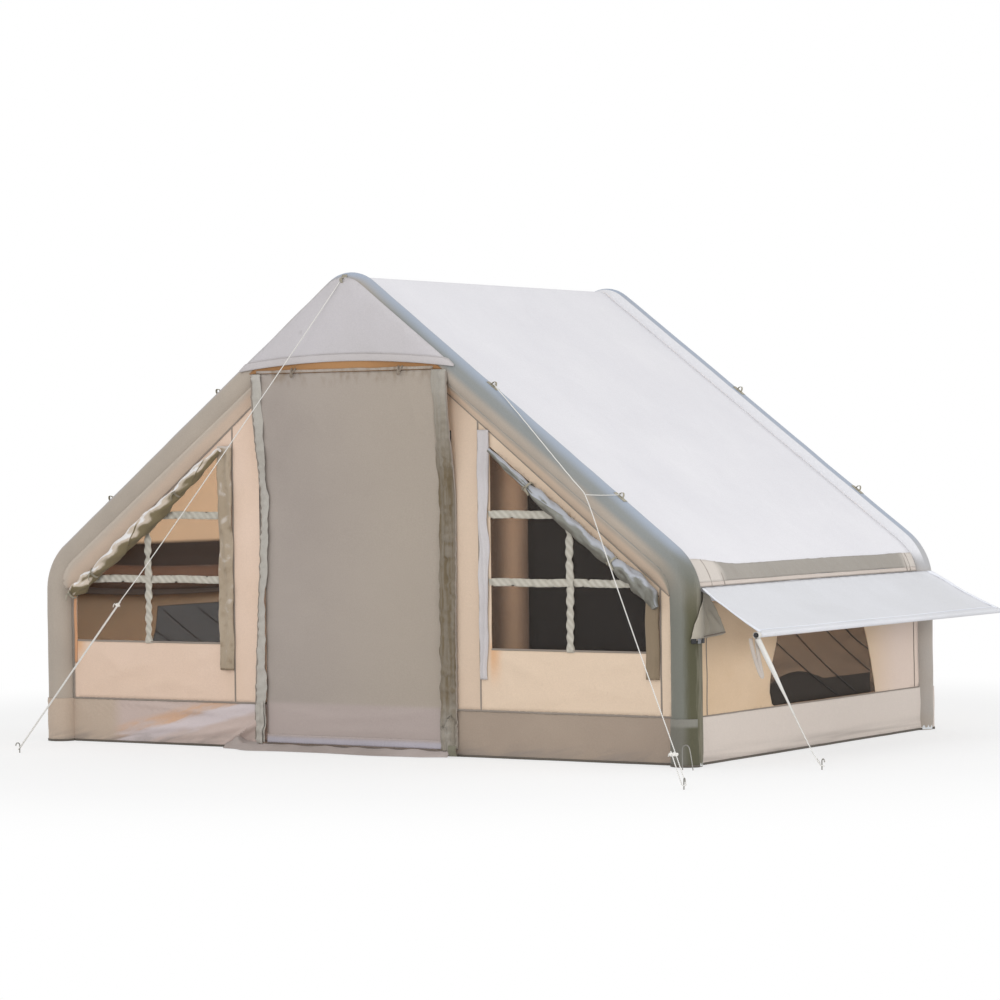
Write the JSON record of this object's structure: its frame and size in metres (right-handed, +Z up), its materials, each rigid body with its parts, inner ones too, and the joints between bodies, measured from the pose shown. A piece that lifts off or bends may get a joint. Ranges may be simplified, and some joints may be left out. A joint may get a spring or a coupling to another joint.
{
  "type": "inflatable cabin tent",
  "caption": "Air-framed cabin tent with arched ends, sloped roof, mesh windows, hanging front door, mesh rear door, propped side awning and guy lines.",
  "frame": {"origin": "underside of the groundsheet at the middle of the tent", "axes": "+X to the right seen from the front door, front towards -Y, +Z up"},
  "size_m": [3.8095, 3.0083, 2.0002],
  "materials": {
    "sleeve": "woven polyester, light sheen",
    "bladder": "smooth welded film",
    "roof": "coated woven polyester, matt",
    "hood": "coated woven polyester, matt",
    "wall": "woven polycotton, matt, lets light through",
    "door": "woven polycotton, matt",
    "skirt": "coated woven polyester, matt",
    "mesh": "fine knitted mesh, see-through",
    "webbing": "woven tape and folded cloth, matt",
    "curtain": "soft woven cloth, rolled",
    "ground": "coated groundsheet",
    "black_plastic": "moulded, satin",
    "white_plastic": "moulded, satin",
    "pole": "glass-fibre rod, satin",
    "cord": "braided cord",
    "steel": "plain wire"
  },
  "bodies": {
    "root": {"front_arch_sleeve": "sleeve", "rear_arch_sleeve": "sleeve", "ridge_beam_sleeve": "sleeve", "left_eave_beam_sleeve": "sleeve", "right_eave_beam_sleeve": "sleeve", "front_arch_bladder": "bladder", "rear_arch_bladder": "bladder", "ridge_beam_bladder": "bladder", "left_eave_beam_bladder": "bladder", "right_eave_beam_bladder": "bladder", "left_roof": "roof", "right_roof": "roof", "left_awning_roll": "roof", "front_hood": "hood", "rear_hood": "hood", "front_gable": "wall", "rear_gable": "wall", "front_left_wall": "wall", "front_right_wall": "wall", "rear_left_wall": "wall", "rear_right_wall": "wall", "left_wall": "wall", "right_wall": "wall", "front_lintel": "door", "rear_door_roll": "door", "left_skirt": "skirt", "right_skirt": "skirt", "door_sill": "skirt", "awning_tie": "skirt", "front_left_mesh": "mesh", "front_right_mesh": "mesh", "left_window_mesh": "mesh", "right_window_mesh": "mesh", "front_left_grille": "webbing", "front_right_grille": "webbing", "awning_guy_strap": "webbing", "front_left_curtain": "curtain", "front_right_curtain": "curtain", "groundsheet": "ground", "valve_body": "black_plastic", "left_guy_line": "cord", "right_guy_line": "cord", "right_guy_branch": "cord", "awning_guy_line": "cord", "left_peg": "steel", "right_peg": "steel", "awning_peg": "steel"},
    "front_door": {"front_door": "door", "door_left_flap": "webbing", "door_right_flap": "webbing"},
    "door_left_zip": {"door_left_zip_slider": "black_plastic"},
    "door_right_zip": {"door_right_zip_slider": "black_plastic"},
    "rear_zip": {"rear_zip_slider": "black_plastic"},
    "rear_mesh_door": {"rear_mesh_door": "mesh"},
    "awning": {"right_awning": "roof", "awning_pole": "pole"},
    "valve_plunger": {"valve_plunger": "white_plastic"},
    "valve_cap": {"valve_cap": "black_plastic"},
    "left_runner": {"left_guy_runner": "black_plastic"},
    "right_runner": {"right_guy_runner": "black_plastic"}
  },
  "joints": [
    {"name": "front_door_swing", "type": "hinge", "parent": "root", "child": "front_door", "pos_m": [0, -1.0933, 1.585], "axis": [-1, 0, 0], "range_deg": [0, 26]},
    {"name": "door_left_zip_slide", "type": "slide", "parent": "root", "child": "door_left_zip", "axis": [0, 0, 1], "range_m": [0, 1.05]},
    {"name": "door_right_zip_slide", "type": "slide", "parent": "root", "child": "door_right_zip", "axis": [0, 0, 1], "range_m": [0, 1.05]},
    {"name": "rear_zip_slide", "type": "slide", "parent": "root", "child": "rear_zip", "axis": [0, 0, 1], "range_m": [0, 1.05]},
    {"name": "rear_mesh_swing", "type": "hinge", "parent": "root", "child": "rear_mesh_door", "pos_m": [-0.4497, 1.0265, 0.03], "axis": [0, 0, -1], "range_deg": [0, 90]},
    {"name": "awning_fold", "type": "hinge", "parent": "root", "child": "awning", "pos_m": [1.61041, 0, 0.6185], "axis": [0, 1, 0], "range_deg": [0, 62], "deforming": ["awning_guy_strap", "awning_guy_line"]},
    {"name": "valve_press", "type": "slide", "parent": "root", "child": "valve_plunger", "axis": [0, -1, 0], "range_m": [0, 0.003], "stiffness_N_per_m": 400},
    {"name": "valve_cap_pull", "type": "slide", "parent": "root", "child": "valve_cap", "axis": [0, 1, 0], "range_m": [0, 0.03]},
    {"name": "left_runner_slide", "type": "slide", "parent": "root", "child": "left_runner", "axis": [-0.5467, -0.2218, -0.8074], "range_m": [0, 0.05]},
    {"name": "right_runner_slide", "type": "slide", "parent": "root", "child": "right_runner", "axis": [0.554, -0.4695, -0.6875], "range_m": [0, 0.04]}
  ]
}
